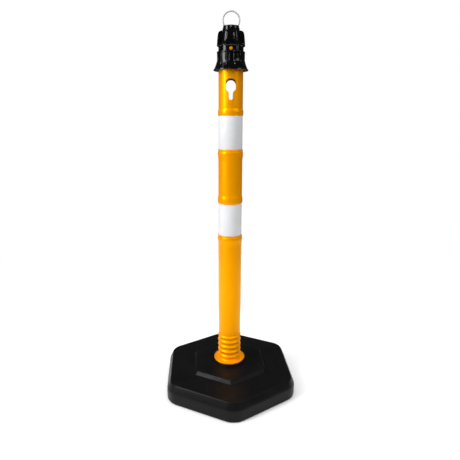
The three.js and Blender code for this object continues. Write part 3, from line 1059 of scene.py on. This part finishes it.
def make_button(name, towards):
    """A button about Y: its shank and dome outside, its flange inside the tube's neck."""
    face, back = -button_low.y, -button_high.y
    corners = [
        (0, back, 0),
        (BUTTON_FLANGE_RADIUS, back, 0.3),
        (BUTTON_FLANGE_RADIUS, back + BUTTON_FLANGE, 0.3),
        (BUTTON_RADIUS, back + BUTTON_FLANGE, 0),
        (BUTTON_RADIUS, face - 1.3, 1.2),
        (3.4, face - 0.15, 1.5),
        (0, face, 0),
    ]
    rows = []
    for radius, out in outline(corners, 4):
        rows.append(
            [
                (radius * math.cos(a), towards * out, button_height + radius * math.sin(a))
                for a in circle_angles(48)
            ]
        )
    return skinned(name, rows, 40)


def make_pin():
    radius = pin_high.x
    corners = [
        (0, pin_low.y, 0),
        (radius, pin_low.y, 0.3),
        (radius, pin_high.y, 0.3),
        (0, pin_high.y, 0),
    ]
    rows = []
    for size, out in outline(corners, 3):
        rows.append(
            [(size * math.cos(a), out, pin_height + size * math.sin(a)) for a in circle_angles(24)]
        )
    return skinned("cross_pin", rows, 40)


def make_ring():
    """Round wire bent to a circle, its two ends butted and welded on the right-hand side."""
    wire = ring_high.y
    size = ring_high.x - wire
    middle = ring_high.z - size - wire
    rows = []
    for turn in circle_angles(160):
        along = math.remainder(turn - WELD_TURN, 2 * math.pi) * size
        thickness = wire - RING_INSET + WELD_RISE * math.exp(-((along / WELD_HALF_WIDTH) ** 2))
        ring = []
        for a in circle_angles(20):
            out = size + thickness * math.cos(a)
            ring.append(
                (out * math.cos(turn), thickness * math.sin(a), middle + out * math.sin(turn))
            )
        rows.append(ring)
    return skinned("wire_ring", rows, 60)


for side, towards in (("front", -1), ("back", 1)):
    button = make_button(f"{side}_button", towards)
    settle(button, f"button_{side}", YELLOW, "yellow_plastic", f"lock_button_{side}")
settle(make_pin(), "cap", STEEL, "steel", "ring_pin")
settle(make_ring(), "ring", STEEL, "steel", "chain_ring")


# ---- Spring clip -------------------------------------------------------------------------------

CLIP_THICKNESS = 1


def make_clip_arm(name, towards):
    """Half of the U-shaped leaf spring: an arm behind one button and half of the bend below."""
    outside = clip_high.y
    bend = clip_low.z + outside
    levels = np.linspace(clip_high.z, bend, 19)
    bends = np.radians(np.linspace(-5, -89.95, 18))
    profile = [(outside, level) for level in levels]
    profile += [(outside * math.cos(a), bend + outside * math.sin(a)) for a in bends]
    inside = outside - CLIP_THICKNESS
    profile += [(inside * math.cos(a), bend + inside * math.sin(a)) for a in bends[::-1]]
    profile += [(inside, level) for level in levels[::-1]]
    arm = pushed(name, profile, clip_low.x, clip_high.x, "y")
    arm.data.transform(Matrix.Rotation(towards * math.pi / 2, 4, "Z"))
    return arm


for side, towards in (("front", -1), ("back", 1)):
    arm = settle(make_clip_arm(f"clip_arm_{side}", towards), None, STEEL, "steel", "spring_clip")
    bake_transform(arm)

# ---- Floor and light ---------------------------------------------------------------------------

# All in metres and watts.
FLOOR_HALF = 1.3
FLOOR_STEPS = 12
FLOOR_LEVEL = -0.0002
DOME_FOCUS = 2
ZENITH_LIGHT = 2.5
GLOSS_LIGHT = 0.05
LIGHTS = (
    # name, place, aim, width, height, power
    ("key_light", (-1.84, -1.0, 1.7), (0, 0, 1.2), 0.9, 1.9, 53),
    ("side_light", (-0.5, -2.1, 1.7), (0, 0, 0.7), 0.16, 1.0, 2),
    ("spark_light", (1.0, -1.6, 2.3), (0, 0, 0.9), 0.16, 0.16, 2.5),
    ("fill_light", (1.7, -1.0, 1.75), (0, 0, 1.1), 0.9, 0.9, 8),
)


def make_floor():
    places = np.linspace(-FLOOR_HALF, FLOOR_HALF, FLOOR_STEPS + 1)
    points = [(x, y, FLOOR_LEVEL) for y in places for x in places]
    row = FLOOR_STEPS + 1
    faces = []
    for j in range(FLOOR_STEPS):
        for i in range(FLOOR_STEPS):
            corner = j * row + i
            faces.append((corner, corner + 1, corner + row + 1, corner + row))
    mesh = bpy.data.meshes.new("floor")
    mesh.from_pydata(points, [], faces)
    mesh.materials.append(pale_floor())
    placed("floor", mesh)


def soft_light(name, place, aim, width, height, power):
    data = bpy.data.lights.new(name, "AREA")
    data.shape = "RECTANGLE"
    data.size = width
    data.size_y = height
    data.energy = power
    lamp = bpy.data.objects.new(name, data)
    lamp.location = place
    lamp.rotation_euler = (Vector(aim) - Vector(place)).to_track_quat("-Z", "Y").to_euler()
    bpy.context.scene.collection.objects.link(lamp)


def white_world():
    """White to the camera. As a light it is bright overhead and dark at the horizon, so that the
    floor comes out as white as the backdrop. It is dim in the object's gloss."""
    world = bpy.data.worlds.new("studio")
    bpy.context.scene.world = world
    world.use_nodes = True
    tree = world.node_tree
    background = tree.nodes["Background"]
    background.inputs["Color"].default_value = (1, 1, 1, 1)
    direction = tree.nodes.new("ShaderNodeSeparateXYZ")
    tree.links.new(tree.nodes.new("ShaderNodeTexCoord").outputs["Generated"], direction.inputs[0])
    height = tree.nodes.new("ShaderNodeMath")
    height.operation = "MAXIMUM"
    height.inputs[1].default_value = 0
    tree.links.new(direction.outputs["Z"], height.inputs[0])
    dome = tree.nodes.new("ShaderNodeMath")
    dome.operation = "POWER"
    dome.inputs[1].default_value = DOME_FOCUS
    tree.links.new(height.outputs["Value"], dome.inputs[0])
    scaled = tree.nodes.new("ShaderNodeMath")
    scaled.operation = "MULTIPLY"
    scaled.inputs[1].default_value = ZENITH_LIGHT
    tree.links.new(dome.outputs["Value"], scaled.inputs[0])
    path = tree.nodes.new("ShaderNodeLightPath")
    strength = scaled.outputs["Value"]
    for kind, level in (("Is Camera Ray", 1.0), ("Is Glossy Ray", GLOSS_LIGHT)):
        choice = tree.nodes.new("ShaderNodeMix")
        choice.inputs["B"].default_value = level
        tree.links.new(path.outputs[kind], choice.inputs["Factor"])
        tree.links.new(strength, choice.inputs["A"])
        strength = choice.outputs["Result"]
    tree.links.new(strength, background.inputs["Strength"])


make_floor()
white_world()
for light in LIGHTS:
    soft_light(*light)
bpy.context.scene.view_settings.view_transform = "Standard"
